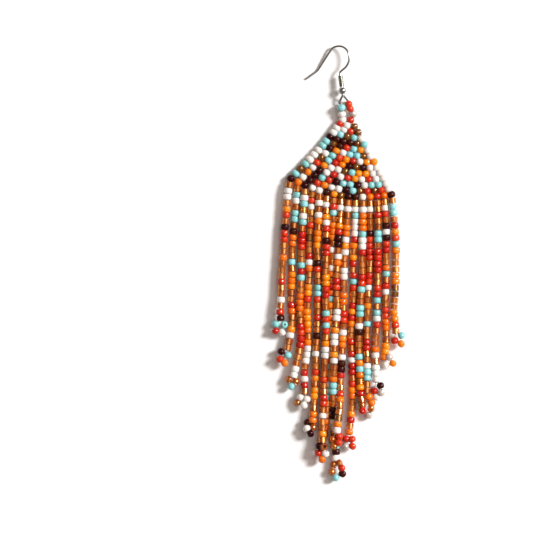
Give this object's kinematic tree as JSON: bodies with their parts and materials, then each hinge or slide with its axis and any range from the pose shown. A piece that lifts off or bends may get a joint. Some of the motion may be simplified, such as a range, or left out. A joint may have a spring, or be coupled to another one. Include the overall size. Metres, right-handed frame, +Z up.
{
  "type": "beaded fringe earring",
  "caption": "Dangle earring lying flat: steel fish-hook ear wire, woven triangle of seed beads and a long V-shaped fringe of seed bead strands, each ending in a small bead loop.",
  "frame": {"origin": "middle of the earring's outline, on the flat surface that it lies on", "axes": "+Y from the fringe's tips up to the ear wire, +X across the fringe to the right, +Z up from the surface"},
  "size_m": [0.0394, 0.1305, 0.0052],
  "materials": {
    "ear_wire": "polished stainless steel wire",
    "loop_beads": "glossy glass seed beads on beading thread",
    "crown_beads": "glossy opaque and lined glass seed beads, mixed colours",
    "fringe_beads": "glossy lined glass seed beads, mostly amber, mixed colours"
  },
  "bodies": {
    "root": {"ear_hook": "ear_wire", "hook_coil": "ear_wire", "hook_ball": "ear_wire", "hanging_loop": "loop_beads", "beaded_crown": "crown_beads", "fringe_strand_01": "fringe_beads", "fringe_strand_02": "fringe_beads", "fringe_strand_03": "fringe_beads", "fringe_strand_04": "fringe_beads", "fringe_strand_05": "fringe_beads", "fringe_strand_06": "fringe_beads", "fringe_strand_07": "fringe_beads", "fringe_strand_08": "fringe_beads", "fringe_strand_09": "fringe_beads", "fringe_strand_10": "fringe_beads", "fringe_strand_11": "fringe_beads", "fringe_strand_12": "fringe_beads", "fringe_strand_13": "fringe_beads", "fringe_strand_14": "fringe_beads", "fringe_strand_15": "fringe_beads"}
  },
  "joints": []
}
